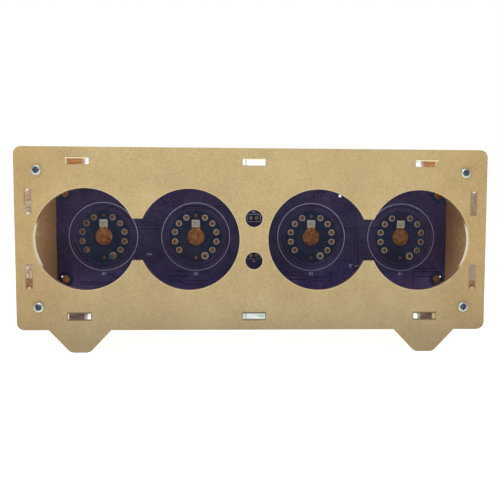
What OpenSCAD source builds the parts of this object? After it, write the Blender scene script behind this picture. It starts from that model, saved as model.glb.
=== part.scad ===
// Case and circuit board of a four-digit tube clock, with no tubes or lamps fitted.
// The case is six sheets of clear acrylic, still in their brown protective paper,
// with tabs in slots and four screwed pillars. The board stands behind the windows.
// Millimetres. X runs right, Y from the front to the back, Z up. The origin is at
// the middle of the footprint, at the height of the soles of the feet.

/* [Sheets] */
// Thickness of the clear acrylic of every sheet
core_t = 2.6; // [2:0.1:4]
// Thickness of the protective paper on each side of a sheet
paper_t = 0.1; // [0.06:0.02:0.3]
// Total play of a tab in its slot
slot_play = 0.1; // [0.06:0.02:0.3]

/* [Case] */
// Corner radius of the front and the back panel
face_r = 3; // [1:0.5:6]
// Clear distance between the front and the back panel
inner_depth = 40; // [36:1:60]
// Distance from the rim of an outer window to the side panel, across
wall_gap = 0.45; // [0.2:0.05:4]
// How far the front and the back panel reach past the side panels
wall_overhang = 3.75; // [2:0.05:8]
// Distance from the rims of the windows to the top and the bottom panel
lid_gap = 9; // [8.6:0.1:14]
// How far the front and the back panel reach past the top and the bottom panel
lid_overhang = 4; // [2:0.1:8]

/* [Feet] */
// Distance of the middle of a front foot from the end of its panel
front_foot_inset = 24.3; // [18:0.1:34]
// Distance of the middle of a rear foot from the end of its panel
rear_foot_inset = 21.7; // [18:0.1:34]
// Width of a foot where it leaves the panel
foot_top_w = 24.2; // [20:0.2:28]
// Width of the sole before its corners are rounded
foot_sole_w = 7.3; // [6:0.1:12]
// Height of a foot
foot_h = 8.9; // [6:0.1:14]
// Radius of the corners of the sole
foot_r = 3; // [1:0.5:4]

/* [Windows] */
// Radius of a tube window
window_r = 19.8; // [17:0.1:19.9]
// Distance between the two tubes of a pair
tube_pitch = 40; // [40:0.5:42]
// Height of the neck that joins the windows of a pair
neck_h = 16.2; // [10:0.2:24]
// Radius of a lamp window
lamp_window_r = 3.37; // [2.5:0.01:4]
// Least width of the panel between a lamp window and an inner tube window
lamp_web = 2.23; // [1:0.01:6]
// Height of the lamps above and below the window line
lamp_z = 8.3; // [6:0.1:9]

/* [Tabs] */
// Width of a tab on the top and bottom panels
lid_tab_w = 8.9; // [6:0.1:12]
// Distance of the middle of an outer tab from the end of its panel
lid_tab_inset = 20.35; // [12:0.05:40]
// Width of a tab on the side panels
wall_tab_w = 9.4; // [6:0.1:12]
// Height of the tabs of the side panels above and below the window line
wall_tab_z = 14.5; // [13:0.1:20]

/* [Case screws] */
// Radius of the screw's thread
screw_r = 1; // [0.8:0.05:1.2]
// Length of the screw under its head
screw_l = 8; // [5:0.5:12]
// Radius of the pan head
head_r = 1.85; // [1.6:0.05:2.4]
// Height of the pan head
head_h = 1.6; // [1.2:0.1:2]
// Radius of the curve of the head's top
head_dome_r = 3.2; // [3:0.1:5]
// Span of the cross recess
recess_w = 2.4; // [1.6:0.1:2.8]
// Width of an arm of the cross recess
recess_arm = 0.55; // [0.3:0.05:0.8]
// Depth of the cross recess
recess_h = 1; // [0.5:0.1:1.1]
// Width across the flats of a pillar
pillar_af = 3.5; // [3:0.1:5]
// Gap between a pillar and the side panel
pillar_wall_gap = 0.5; // [0.1:0.05:2]
// Gap between a pillar and the top or the bottom panel
pillar_lid_gap = 0.28; // [0.1:0.02:2]
// Play between the screw and the pillar's thread
thread_play = 0.02; // [0.01:0.01:0.05]
// Radius of the screw holes in the panels
screw_hole_r = 1.15; // [1.05:0.05:1.4]

/* [Circuit board] */
// Thickness of the board
board_t = 1.6; // [1:0.1:2]
// Gap between a pillar and the board's long edge
board_pillar_gap = 0.48; // [0.2:0.02:2]
// Radius of the board's corners
board_r = 1.5; // [0.5:0.5:3]
// Gap between the board's edge and a side panel
board_side_gap = 0.2; // [0.1:0.05:0.4]
// Gap between the board's rear face and the back panel
board_back_gap = 6; // [6:0.5:10]
// Width of the ear that holds the board in a side panel
ear_w = 12; // [6:0.5:16]
// Play of the ear in its slot
ear_play = 0.2; // [0.1:0.05:0.4]
// How far the ear's end stays inside the side panel
ear_inset = 0.3; // [0:0.1:1]
// Distance of a spare fixing hole from the board's end
fixing_end_inset = 3.45; // [2.5:0.05:6]
// Distance of a spare fixing hole from the board's long edge
fixing_edge_inset = 5.3; // [3:0.1:8]
// Radius of the spare fixing holes
fixing_r = 1.7; // [1.1:0.1:1.8]
// Place of the small sight hole, across
sight_x = 38.1; // [37:0.1:42]
// Place of the small sight hole, up
sight_z = 18.2; // [17:0.1:20]
// Radius of the small sight hole
sight_r = 0.65; // [0.4:0.05:1]

/* [Tube footprint] */
// Radius of the circle of pins
pin_circle_r = 9.28; // [9:0.02:9.6]
// Radius of the free bore of a plated pin hole
pin_bore_r = 0.85; // [0.6:0.05:0.9]
// Radius of a pin's pad
pad_r = 1.3; // [1.2:0.05:1.5]
// Radius of the wide pad of the first pin
first_pad_r = 1.6; // [1.4:0.05:1.7]
// Wall of the plating in a hole
plating_t = 0.12; // [0.06:0.02:0.2]
// Thickness of a pad on the board's face
foil_t = 0.05; // [0.03:0.01:0.1]
// Radius of the round part of the keyhole
keyhole_r = 3.75; // [3:0.05:4]
// Width of the keyhole's slot
keyhole_slot_w = 3.8; // [3.8:0.1:4.4]
// Top of the keyhole's slot above the tube's middle
keyhole_top = 7.5; // [7.5:0.1:7.8]
// Radius of the two unplated holes of a tube
guide_r = 0.7; // [0.3:0.05:0.8]
// Height of the unplated holes
guide_z = 9.2; // [9:0.1:10]

/* [Lamp footprint] */
// Distance between the two lead holes of a lamp
lamp_lead_pitch = 2.54; // [2:0.02:2.8]
// Radius of the free bore of a lamp's lead hole
lamp_bore_r = 0.45; // [0.3:0.05:0.55]
// Radius of a lamp's pad
lamp_pad_r = 0.85; // [0.75:0.05:0.95]

/* [Backlight] */
// Width of a light-emitting diode
led_w = 3.5; // [3:0.1:3.5]
// Height of a light-emitting diode
led_h = 3.1; // [2.6:0.1:3.1]
// Thickness of a light-emitting diode
led_t = 1.9; // [1.6:0.1:2.4]
// How far the diode's face lies behind the board's front face
led_setback = 0.4; // [0.2:0.1:0.8]
// Play between the diode's top and the end of the slot
led_play = 0.15; // [0.1:0.05:0.3]
// Width of the diode's well
led_well_w = 2.5; // [1.8:0.1:2.8]
// Depth of the diode's well
led_well_t = 0.7; // [0.4:0.1:1]
// Reach of a diode's lead over the board
led_lead_l = 1.4; // [1:0.1:2]

/* [Buttons] */
// Gap between the lowest button's switch and the supply parts below it
switch_supply_gap = 0.9; // [0.3:0.1:2]
// Travel of a button
button_travel = 0.25; // [0.2:0.05:0.3]
// Radius of a button's stem
stem_r = 1.75; // [1.4:0.05:1.8]
// Height of the stem's end above the board
stem_h = 10; // [9.5:0.5:14]
// Width of the switch housing
switch_w = 6; // [6:0.2:7]
// Height of the switch housing under its cover
switch_h = 3.1; // [3.1:0.1:4]
// Thickness of the steel cover
cover_t = 0.3; // [0.2:0.05:0.4]
// Play between the stem and the cover's hole
stem_play = 0.1; // [0.05:0.01:0.15]
// Play between the stem and the hole in the back panel
stem_panel_play = 0.35; // [0.3:0.05:0.6]
// Radius of the collar that keeps the stem in the housing
collar_r = 2.25; // [2.1:0.05:2.3]
// Thickness of the floor of the housing
switch_floor_t = 1; // [0.8:0.1:1]
// Rise of the snap dome
dome_h = 0.55; // [0.4:0.05:0.6]
// Thickness of the snap dome
dome_t = 0.12; // [0.08:0.02:0.2]
// Play between the snap dome and a button that is pressed home
dome_play = 0.15; // [0.05:0.05:0.3]

/* [Power socket] */
// Distance of the socket's middle from the board's lower edge
socket_inset = 7; // [5:0.1:8]
// Width of the socket's shell
socket_w = 8.94; // [8.6:0.02:9.4]
// Thickness of the socket's shell, outside
socket_h = 3.26; // [3:0.02:3.6]
// Height of the socket above the board
socket_l = 7.5; // [6.5:0.1:8]
// Wall of the socket's shell
socket_wall = 0.3; // [0.2:0.05:0.4]
// Thickness of the socket's tongue
tongue_t = 0.7; // [0.6:0.05:0.8]
// Width of the cut-out for the plug
plug_hole_w = 13; // [12:0.2:15]
// Height of the cut-out for the plug
plug_hole_h = 7.4; // [7:0.2:8]

/* [Vents] */
// Radius of a vent hole in the back panel
vent_r = 1.6; // [1:0.1:2]
// Distance between two vent holes
vent_pitch = 6; // [5:0.5:6]
// How far the inner vent hole lies outwards of the sight hole
vent_shift_x = 1.2; // [0:0.1:2]
// How far the vent holes lie above the sight hole
vent_shift_z = 0.2; // [0:0.1:1]

/* [Chips] */
// Distance of the row of chips from the board's upper edge
chip_inset = 7; // [6:0.1:7.4]
// Length of a wide chip
chip_l = 10.3; // [10:0.1:10.6]
// Width of a wide chip
chip_w = 7.5; // [7:0.1:7.6]
// Thickness of a wide chip
chip_t = 2.3; // [2:0.1:2.6]
// Gap between a chip and the board
chip_gap = 0.15; // [0.1:0.05:0.3]
// Reach of a chip's lead beyond the chip
lead_l = 1.35; // [1:0.05:1.4]
// Thickness of a lead
lead_t = 0.25; // [0.15:0.05:0.3]
// Distance between two leads of a wide chip
chip_lead_pitch = 1.27; // [1:0.01:1.3]
// Width of a lead of a wide chip
chip_lead_w = 0.42; // [0.3:0.02:0.5]
// Width of the square controller
controller_w = 7; // [6.6:0.1:7.2]
// Thickness of the controller
controller_t = 1; // [0.8:0.1:1.4]
// Distance between two leads of the controller
controller_lead_pitch = 0.8; // [0.65:0.05:0.8]
// Width of a lead of the controller
controller_lead_w = 0.36; // [0.2:0.02:0.4]

/* [Clock keeping] */
// Height of the coin cell's middle below the window line
cell_z = 9; // [8:0.5:12]
// Radius of the coin cell
cell_r = 6.25; // [6:0.05:6.25]
// Thickness of the coin cell
cell_t = 2; // [1.6:0.1:2.5]
// Thickness of the spring clip over the cell
clip_t = 0.25; // [0.15:0.05:0.4]
// Width of the spring clip
clip_w = 7; // [4:0.5:9]
// Length of the crystal's can
crystal_l = 11; // [9:0.5:11.5]
// Width of the crystal's can
crystal_w = 4.6; // [3.8:0.1:4.8]
// Height of the crystal's can
crystal_h = 3.6; // [2.5:0.1:4.2]

/* [High voltage supply] */
// Distance of the row of supply parts from the board's lower edge
supply_inset = 6.6; // [6:0.1:7]
// Gap between two supply parts
supply_gap = 4; // [2:0.1:4.2]
// Width of the inductor
coil_w = 10.2; // [9:0.1:11]
// Height of the inductor
coil_h = 4; // [3:0.1:5]
// Radius of the inductor's drum
drum_r = 4.1; // [3.5:0.1:4.2]
// Width of the switching transistor
transistor_w = 6.6; // [6:0.1:6.8]
// Length of the switching transistor
transistor_l = 6.1; // [5.5:0.1:6.4]
// Thickness of the switching transistor
transistor_t = 2.3; // [2:0.1:2.5]
// Length of the rectifier
rectifier_l = 4.6; // [4:0.1:5]
// Width of the rectifier
rectifier_w = 3.8; // [3.4:0.1:4]
// Thickness of the rectifier
rectifier_t = 2.2; // [1.8:0.1:2.4]
// Radius of a can capacitor
can_r = 3.15; // [2.5:0.05:3.2]
// Height of a can capacitor with its base
can_h = 5.4; // [4.5:0.1:5.6]
// Thickness of a can capacitor's base
can_base_t = 1; // [0.8:0.1:1.2]
// Length of a ceramic block
block_l = 5.7; // [4.5:0.1:5.8]
// Width of a ceramic block
block_w = 5; // [3:0.1:5.2]
// Thickness of a ceramic block
block_t = 2.5; // [1.5:0.1:3]
// Length of the voltage regulator
regulator_l = 6.5; // [6:0.1:6.7]
// Width of the voltage regulator
regulator_w = 3.5; // [3.3:0.1:3.7]
// Thickness of the voltage regulator
regulator_t = 1.6; // [1.4:0.1:1.8]
// Length of a resistor
resistor_l = 3.2; // [2:0.1:3.4]
// Width of a resistor
resistor_w = 1.6; // [1.2:0.1:1.8]
// Thickness of a resistor
resistor_t = 0.55; // [0.4:0.05:0.7]
// Number of resistors in the row
resistor_count = 8; // [4:1:8]
// Distance between two resistors
resistor_pitch = 5; // [4:0.5:5]

/* [Hidden] */
$fn = 64;

sheet_t = core_t + 2 * paper_t;
inner_tube_x = lamp_window_r + lamp_web + window_r;
outer_tube_x = inner_tube_x + tube_pitch;
neck_x = (inner_tube_x + outer_tube_x) / 2;
TUBES_X = [-outer_tube_x, -inner_tube_x, inner_tube_x, outer_tube_x];

wall_inner_x = outer_tube_x + window_r + wall_gap;
wall_outer_x = wall_inner_x + sheet_t;
wall_x = (wall_inner_x + wall_outer_x) / 2;
face_w = 2 * (wall_outer_x + wall_overhang);
lid_inner_z = window_r + lid_gap;
lid_z = lid_inner_z + sheet_t / 2;
face_h = 2 * (lid_inner_z + sheet_t + lid_overhang);
front_foot_x = face_w / 2 - front_foot_inset;
rear_foot_x = face_w / 2 - rear_foot_inset;
lid_tab_x = wall_outer_x - lid_tab_inset;

pillar_r = pillar_af / sqrt(3);
screw_x = wall_inner_x - pillar_wall_gap - pillar_af / 2;
screw_z = lid_inner_z - pillar_lid_gap - pillar_r;

case_depth = inner_depth + 2 * sheet_t;
stem_proud = stem_h - board_back_gap - sheet_t;
rear_proud = max(head_h, stem_proud);
front_y = head_h - (head_h + case_depth + rear_proud) / 2;
line_z = face_h / 2 + foot_h;

back_y = case_depth - sheet_t;
board_rear_y = back_y - board_back_gap;
board_front_y = board_rear_y - board_t;
board_w = 2 * (wall_inner_x - board_side_gap);
board_h = 2 * (screw_z - pillar_r - board_pillar_gap);
fixing_x = board_w / 2 - fixing_end_inset;
fixing_z = board_h / 2 - fixing_edge_inset;
socket_z = board_h / 2 - socket_inset;
chip_z = board_h / 2 - chip_inset;
supply_z = board_h / 2 - supply_inset;
vent_x = sight_x + vent_shift_x + vent_pitch;
vent_z = sight_z + vent_shift_z;

// The tube base has fourteen places, and three of them have no pin
PIN_PLACES = 14;
PINS = [-5, -4, -3, -2, -1, 1, 2, 3, 4, 5, 6];
FIRST_PIN = 6;
button_pitch = supply_z - block_w / 2 - switch_supply_gap - switch_w / 2;
BUTTONS_Z = [button_pitch, 0, -button_pitch];
SIDES = [-1, 1];
// A cut runs this far past the face that it opens
over = 0.5;

// ---------------------------------------------------------------- placing

// Moves a piece from the case's own corner values to the part's frame
module in_frame() {
    translate([0, front_y, line_z]) children();
}

// A sheet that faces the front, from a drawing of X and Z
module upright(y, t) {
    translate([0, y + t, 0]) rotate([90, 0, 0]) linear_extrude(t) children();
}

// A sheet that lies flat, from a drawing of X and Y
module level(z, t) {
    translate([0, 0, z]) linear_extrude(t) children();
}

// A sheet that faces the side, from a drawing of Y and Z
module sideways(x, t) {
    translate([x, 0, 0]) rotate([90, 0, 90]) linear_extrude(t) children();
}

// Turns a piece built upwards so that it grows from (x, y, z) to the back
module to_back(x, y, z) {
    translate([x, y, z]) rotate([-90, 0, 0]) children();
}

// A piece on the board's rear face, where its own Z runs to the back
module on_board(x, z) {
    to_back(x, board_rear_y, z) children();
}

module four_corners(x, z) {
    for (sx = SIDES, sz = SIDES) translate([sx * x, sz * z]) children();
}

module block(w, d, h) {
    translate([-w / 2, -d / 2, 0]) cube([w, d, h]);
}

// ---------------------------------------------------------------- outlines

module rounded(w, h, r) {
    square([w - 2 * r, h], center = true);
    square([w, h - 2 * r], center = true);
    four_corners(w / 2 - r, h / 2 - r) circle(r);
}

module foot() {
    slope = atan2(foot_h, (foot_top_w - foot_sole_w) / 2);
    touch = foot_r * tan(slope / 2);
    root = over;
    steps = 10;
    corner = [
        for (i = [0:steps]) let (a = slope * (1 - i / steps) - 90)
            [foot_sole_w / 2 - touch + foot_r * cos(a), foot_r - foot_h + foot_r * sin(a)]
    ];
    half = concat([[foot_top_w / 2 + root / tan(slope), root]], corner);
    polygon(concat(half, [for (i = [len(half) - 1:-1:0]) [-half[i][0], half[i][1]]]));
}

module face_blank(foot_x) {
    rounded(face_w, face_h, face_r);
    for (s = SIDES) translate([s * foot_x, -face_h / 2]) foot();
}

module slots() {
    for (x = [-lid_tab_x, 0, lid_tab_x], s = SIDES)
        translate([x, s * lid_z])
            square([lid_tab_w + slot_play, sheet_t + slot_play], center = true);
    four_corners(wall_x, wall_tab_z)
        square([sheet_t + slot_play, wall_tab_w + slot_play], center = true);
}

module screw_holes() {
    four_corners(screw_x, screw_z) circle(screw_hole_r);
}

module tube_windows() {
    for (x = TUBES_X) translate([x, 0]) circle(window_r, $fn = 180);
    for (s = SIDES) translate([s * neck_x, 0])
        square([tube_pitch, neck_h], center = true);
}

module front_outline() {
    difference() {
        face_blank(front_foot_x);
        slots();
        screw_holes();
        tube_windows();
        for (s = SIDES) translate([0, s * lamp_z]) circle(lamp_window_r);
    }
}

module back_outline() {
    difference() {
        face_blank(rear_foot_x);
        slots();
        screw_holes();
        for (z = BUTTONS_Z) translate([neck_x, z]) circle(stem_r + stem_panel_play);
        translate([0, -socket_z]) rounded(plug_hole_w, plug_hole_h, plug_hole_h / 4);
        for (s = SIDES, t = SIDES, i = [-1:1])
            translate([s * vent_x + i * vent_pitch, t * vent_z]) circle(vent_r);
    }
}

module lid_outline() {
    translate([-wall_outer_x, sheet_t]) square([2 * wall_outer_x, inner_depth]);
    for (x = [-lid_tab_x, 0, lid_tab_x])
        translate([x - lid_tab_w / 2, 0]) square([lid_tab_w, case_depth]);
}

module wall_outline() {
    difference() {
        union() {
            translate([sheet_t, -lid_inner_z]) square([inner_depth, 2 * lid_inner_z]);
            for (s = SIDES) translate([0, s * wall_tab_z - wall_tab_w / 2])
                square([case_depth, wall_tab_w]);
        }
        translate([board_front_y - ear_play / 2, -(ear_w + ear_play) / 2])
            square([board_t + ear_play, ear_w + ear_play]);
    }
}

// ---------------------------------------------------------------- case

module front_panel() {
    color([0.86, 0.88, 0.8]) in_frame() upright(paper_t, core_t) front_outline();
}

module front_panel_paper() {
    color([0.75, 0.66, 0.47]) in_frame() {
        upright(0, paper_t) front_outline();
        upright(paper_t + core_t, paper_t) front_outline();
    }
}

module back_panel() {
    color([0.86, 0.88, 0.8]) in_frame() upright(back_y + paper_t, core_t) back_outline();
}

module back_panel_paper() {
    color([0.75, 0.66, 0.47]) in_frame() {
        upright(back_y, paper_t) back_outline();
        upright(back_y + paper_t + core_t, paper_t) back_outline();
    }
}

module lid_core(z) {
    color([0.86, 0.88, 0.8]) in_frame() level(z - core_t / 2, core_t) lid_outline();
}

module lid_paper(z) {
    color([0.72, 0.62, 0.44]) in_frame() {
        level(z - sheet_t / 2, paper_t) lid_outline();
        level(z + core_t / 2, paper_t) lid_outline();
    }
}

module top_panel() {
    lid_core(lid_z);
}

module top_panel_paper() {
    lid_paper(lid_z);
}

module bottom_panel() {
    lid_core(-lid_z);
}

module bottom_panel_paper() {
    lid_paper(-lid_z);
}

module wall_core(x) {
    color([0.86, 0.88, 0.8]) in_frame() sideways(x - core_t / 2, core_t) wall_outline();
}

module wall_paper(x) {
    color([0.72, 0.62, 0.44]) in_frame() {
        sideways(x - sheet_t / 2, paper_t) wall_outline();
        sideways(x + core_t / 2, paper_t) wall_outline();
    }
}

module left_panel() {
    wall_core(-wall_x);
}

module left_panel_paper() {
    wall_paper(-wall_x);
}

module right_panel() {
    wall_core(wall_x);
}

module right_panel_paper() {
    wall_paper(wall_x);
}

module pillar() {
    difference() {
        cylinder(r = pillar_r, h = inner_depth, $fn = 6);
        for (z = [-over, inner_depth - screw_l])
            translate([0, 0, z]) cylinder(r = screw_r + thread_play, h = screw_l + over);
    }
}

module case_pillars() {
    color("goldenrod") in_frame()
        for (sx = SIDES, sz = SIDES)
            to_back(sx * screw_x, sheet_t, sz * screw_z) rotate(90) pillar();
}

// A pan head screw that points up, with the underside of its head at the origin
module pan_screw() {
    difference() {
        union() {
            cylinder(r = screw_r, h = screw_l);
            intersection() {
                translate([0, 0, -head_h]) cylinder(r = head_r, h = head_h);
                translate([0, 0, head_dome_r - head_h]) sphere(head_dome_r);
            }
        }
        for (a = [0, 90]) rotate(a) translate([0, 0, -head_h - over])
            block(recess_w, recess_arm, recess_h + over);
        translate([0, 0, -head_h - over]) cylinder(r = recess_arm, h = recess_h + over);
    }
}

module front_screws() {
    color("silver") in_frame()
        for (sx = SIDES, sz = SIDES) to_back(sx * screw_x, 0, sz * screw_z)
            rotate(sx * 20 + sz * 25) pan_screw();
}

module rear_screws() {
    color("silver") in_frame()
        for (sx = SIDES, sz = SIDES)
            translate([sx * screw_x, case_depth, sz * screw_z]) rotate([90, 0, 0])
                rotate(sx * 30 - sz * 15) pan_screw();
}

// ---------------------------------------------------------------- board

function pin_angle(i) = 360 / PIN_PLACES * i;

module at_pins(list) {
    for (x = TUBES_X, i = list)
        translate([x + pin_circle_r * sin(pin_angle(i)), pin_circle_r * cos(pin_angle(i))])
            children();
}

module at_lamp_leads() {
    for (s = SIDES, t = SIDES) translate([s * lamp_lead_pitch / 2, t * lamp_z]) children();
}

module keyhole() {
    circle(keyhole_r);
    translate([-keyhole_slot_w / 2, 0]) square([keyhole_slot_w, keyhole_top]);
}

module board_outline() {
    difference() {
        union() {
            rounded(board_w, board_h, board_r);
            square([2 * (wall_outer_x - ear_inset), ear_w], center = true);
        }
        four_corners(fixing_x, fixing_z) circle(fixing_r);
        translate([sight_x, sight_z]) circle(sight_r);
        at_pins(PINS) circle(pin_bore_r + plating_t + thread_play);
        at_lamp_leads() circle(lamp_bore_r + plating_t + thread_play);
        for (x = TUBES_X) translate([x, 0]) {
            keyhole();
            for (s = SIDES) translate([0, s * guide_z]) circle(guide_r);
        }
    }
}

module circuit_board() {
    color([0.22, 0.16, 0.32]) in_frame() upright(board_front_y, board_t) board_outline();
}

// A plated hole: a pad on each face of the board, joined by a barrel
module eyelet(bore_r, rim_r) {
    barrel_r = bore_r + plating_t;
    rotate_extrude() polygon([
        [bore_r, -foil_t], [rim_r, -foil_t], [rim_r, 0], [barrel_r, 0],
        [barrel_r, board_t], [rim_r, board_t], [rim_r, board_t + foil_t],
        [bore_r, board_t + foil_t]
    ]);
}

module tube_pin_eyelets() {
    color([0.75, 0.74, 0.68]) in_frame()
        for (x = TUBES_X, i = PINS)
            to_back(x + pin_circle_r * sin(pin_angle(i)), board_front_y,
                    pin_circle_r * cos(pin_angle(i)))
                eyelet(pin_bore_r, i == FIRST_PIN ? first_pad_r : pad_r);
}

module lamp_lead_eyelets() {
    color([0.75, 0.74, 0.68]) in_frame()
        for (s = SIDES, t = SIDES)
            to_back(s * lamp_lead_pitch / 2, board_front_y, t * lamp_z)
                eyelet(lamp_bore_r, lamp_pad_r);
}

// ---------------------------------------------------------------- backlight

led_z = keyhole_top - led_play - led_h / 2;
led_y = board_front_y + led_setback;

module at_leds() {
    for (x = TUBES_X) to_back(x, led_y, led_z) children();
}

module backlight_diodes() {
    color("gainsboro") in_frame() at_leds() difference() {
        block(led_w, led_h, led_t);
        translate([0, 0, -over]) block(led_well_w, led_well_w * led_h / led_w, led_well_t + over);
    }
}

module backlight_lenses() {
    lens_t = led_well_t * 0.8;
    color("lightgrey") in_frame() at_leds()
        translate([0, 0, led_well_t - lens_t])
            block(led_well_w, led_well_w * led_h / led_w, lens_t);
}

module backlight_leads() {
    color("silver") in_frame()
        for (x = TUBES_X, s = SIDES) on_board(x + s * (led_w + led_lead_l) / 2, led_z)
            block(led_lead_l, led_h * 0.7, lead_t);
}

// ---------------------------------------------------------------- buttons

switch_cavity_r = collar_r + stem_play;
stem_base_h = switch_floor_t + dome_h + dome_play + button_travel;
collar_h = switch_h - stem_play / 2 - stem_base_h;

module at_switches() {
    for (z = BUTTONS_Z) on_board(neck_x, z) children();
}

module switch_housings() {
    color("dimgray") in_frame() at_switches() difference() {
        block(switch_w, switch_w, switch_h);
        translate([0, 0, switch_floor_t]) cylinder(r = switch_cavity_r, h = switch_h);
    }
}

module switch_domes() {
    rim_r = collar_r;
    dome_r = (rim_r * rim_r + dome_h * dome_h) / (2 * dome_h);
    color("silver") in_frame() at_switches() translate([0, 0, switch_floor_t])
        intersection() {
            cylinder(r = rim_r, h = dome_h + over);
            translate([0, 0, dome_h - dome_r]) difference() {
                sphere(dome_r);
                sphere(dome_r - dome_t);
            }
        }
}

module switch_covers() {
    peg_r = 0.35;
    color("silver") in_frame() at_switches() translate([0, 0, switch_h]) {
        difference() {
            block(switch_w, switch_w, cover_t);
            translate([0, 0, -over]) cylinder(r = stem_r + stem_play, h = cover_t + 2 * over);
        }
        four_corners(switch_w / 2 - 2 * peg_r, switch_w / 2 - 2 * peg_r)
            cylinder(r = peg_r, h = cover_t + peg_r);
    }
}

module switch_legs() {
    leg_w = 0.7;
    leg_l = 1.4;
    color("silver") in_frame() at_switches()
        for (s = SIDES, t = SIDES)
            translate([s * (switch_w + leg_l) / 2, t * switch_w * 0.375, 0])
                block(leg_l, leg_w, lead_t);
}

module button(z) {
    color([0.12, 0.12, 0.12]) in_frame() on_board(neck_x, z)
        translate([0, 0, stem_base_h]) {
            cylinder(r = collar_r, h = collar_h);
            cylinder(r = stem_r, h = stem_h - stem_base_h);
        }
}

module up_button() {
    button(BUTTONS_Z[0]);
}

module set_button() {
    button(BUTTONS_Z[1]);
}

module down_button() {
    button(BUTTONS_Z[2]);
}

// ---------------------------------------------------------------- power socket

socket_floor_t = 1.2;

module power_socket_shell() {
    inner_w = socket_w - 2 * socket_wall;
    inner_h = socket_h - 2 * socket_wall;
    color("silver") in_frame() on_board(0, -socket_z) difference() {
        linear_extrude(socket_l) rounded(socket_w, socket_h, socket_h * 0.48);
        translate([0, 0, socket_floor_t])
            linear_extrude(socket_l) rounded(inner_w, inner_h, inner_h * 0.48);
    }
}

module power_socket_tongue() {
    tongue_w = socket_w * 0.75;
    tongue_l = socket_l - socket_floor_t - 0.6;
    color([0.1, 0.1, 0.1]) in_frame() on_board(0, -socket_z)
        translate([0, 0, socket_floor_t]) block(tongue_w, tongue_t, tongue_l);
}

// ---------------------------------------------------------------- chips

// Places a piece at each lead of one side of a chip, with X running away from the chip
module lead_row(count, pitch, half_width) {
    for (i = [0:count - 1])
        translate([half_width, (i - (count - 1) / 2) * pitch, 0]) children();
}

// A gull-wing lead that leaves a chip at half its height and lands on the board
module gull_lead(width, exit_h) {
    knee = lead_l * 0.4;
    translate([0, width / 2, 0]) rotate([90, 0, 0]) linear_extrude(width) polygon([
        [0, exit_h - lead_t / 2], [knee, exit_h - lead_t / 2], [knee, 0], [lead_l, 0],
        [lead_l, lead_t], [knee + lead_t, lead_t], [knee + lead_t, exit_h + lead_t / 2],
        [0, exit_h + lead_t / 2]
    ]);
}

module wide_chip_body() {
    translate([0, 0, chip_gap]) difference() {
        block(chip_l, chip_w, chip_t);
        translate([-chip_l / 2 + 1.2, -chip_w / 2 + 1.2, chip_t - 0.15]) cylinder(r = 0.5, h = over);
    }
}

module wide_chip_leads() {
    for (a = [90, -90]) rotate(a)
        lead_row(8, chip_lead_pitch, chip_w / 2)
            gull_lead(chip_lead_w, chip_gap + chip_t / 2);
}

module digit_driver_chips() {
    color([0.12, 0.12, 0.13]) in_frame() for (x = TUBES_X) on_board(x, chip_z) wide_chip_body();
}

module digit_driver_leads() {
    color("silver") in_frame() for (x = TUBES_X) on_board(x, chip_z) wide_chip_leads();
}

module controller_chip() {
    color([0.12, 0.12, 0.13]) in_frame() on_board(0, chip_z) translate([0, 0, chip_gap])
        difference() {
            block(controller_w, controller_w, controller_t);
            translate([-controller_w / 2 + 1, -controller_w / 2 + 1, controller_t - 0.15])
                cylinder(r = 0.4, h = over);
        }
}

module controller_leads() {
    color("silver") in_frame() on_board(0, chip_z)
        for (a = [0:90:270]) rotate(a)
            lead_row(8, controller_lead_pitch, controller_w / 2)
                gull_lead(controller_lead_w, chip_gap + controller_t / 2);
}

// ---------------------------------------------------------------- clock keeping

module clock_chip() {
    color([0.12, 0.12, 0.13]) in_frame() on_board(-neck_x, chip_z) wide_chip_body();
}

module clock_chip_leads() {
    color("silver") in_frame() on_board(-neck_x, chip_z) wide_chip_leads();
}

crystal_z = chip_z - chip_w / 2 - lead_l - 1 - crystal_w / 2;

module clock_crystal() {
    flange = 0.3;
    color("silver") in_frame() on_board(-neck_x, crystal_z) {
        linear_extrude(0.5) rounded(crystal_l, crystal_w, crystal_w * 0.49);
        linear_extrude(crystal_h)
            rounded(crystal_l - 2 * flange, crystal_w - 2 * flange, (crystal_w - 2 * flange) * 0.49);
    }
}

cell_base_t = 0.8;
cell_play = 0.05;

module coin_cell() {
    step_h = cell_t * 0.3;
    color("silver") in_frame() on_board(-neck_x, -cell_z) translate([0, 0, cell_base_t]) {
        cylinder(r = cell_r * 0.9, h = step_h);
        translate([0, 0, step_h]) cylinder(r = cell_r, h = cell_t - step_h);
    }
}

module coin_cell_base() {
    color([0.15, 0.15, 0.16]) in_frame() on_board(-neck_x, -cell_z)
        block(2 * cell_r + 1, 2 * cell_r * 0.8, cell_base_t);
}

module coin_cell_clip() {
    top_h = cell_base_t + cell_t + cell_play;
    side_x = cell_r + 0.75;
    foot_l = 1.4;
    under = [[side_x, top_h], [side_x, 0], [side_x + foot_l, 0]];
    upper = [
        [side_x + foot_l, clip_t], [side_x + clip_t, clip_t], [side_x + clip_t, top_h + clip_t]
    ];
    half = concat(under, upper);
    color("silver") in_frame() on_board(-neck_x, -cell_z)
        translate([0, clip_w / 2, 0]) rotate([90, 0, 0]) linear_extrude(clip_w)
            polygon(concat(half, [for (i = [len(half) - 1:-1:0]) [-half[i][0], half[i][1]]]));
}

// ---------------------------------------------------------------- supply

block_gap = 1.5;
inductor_x = (plug_hole_w + coil_w) / 2 + supply_gap;
transistor_x = inductor_x + (coil_w + transistor_w) / 2 + supply_gap;
rectifier_x = transistor_x + (transistor_w + rectifier_l) / 2 + supply_gap;
block_x = rectifier_x + (rectifier_l + block_l) / 2 + supply_gap;
can_x = -plug_hole_w / 2 - supply_gap - can_r;
can_pitch = 2 * can_r + 1.8;
regulator_x = can_x - can_pitch - can_r - supply_gap - regulator_l / 2;
resistor_x = regulator_x - regulator_l / 2 - supply_gap - resistor_w / 2;

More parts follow.
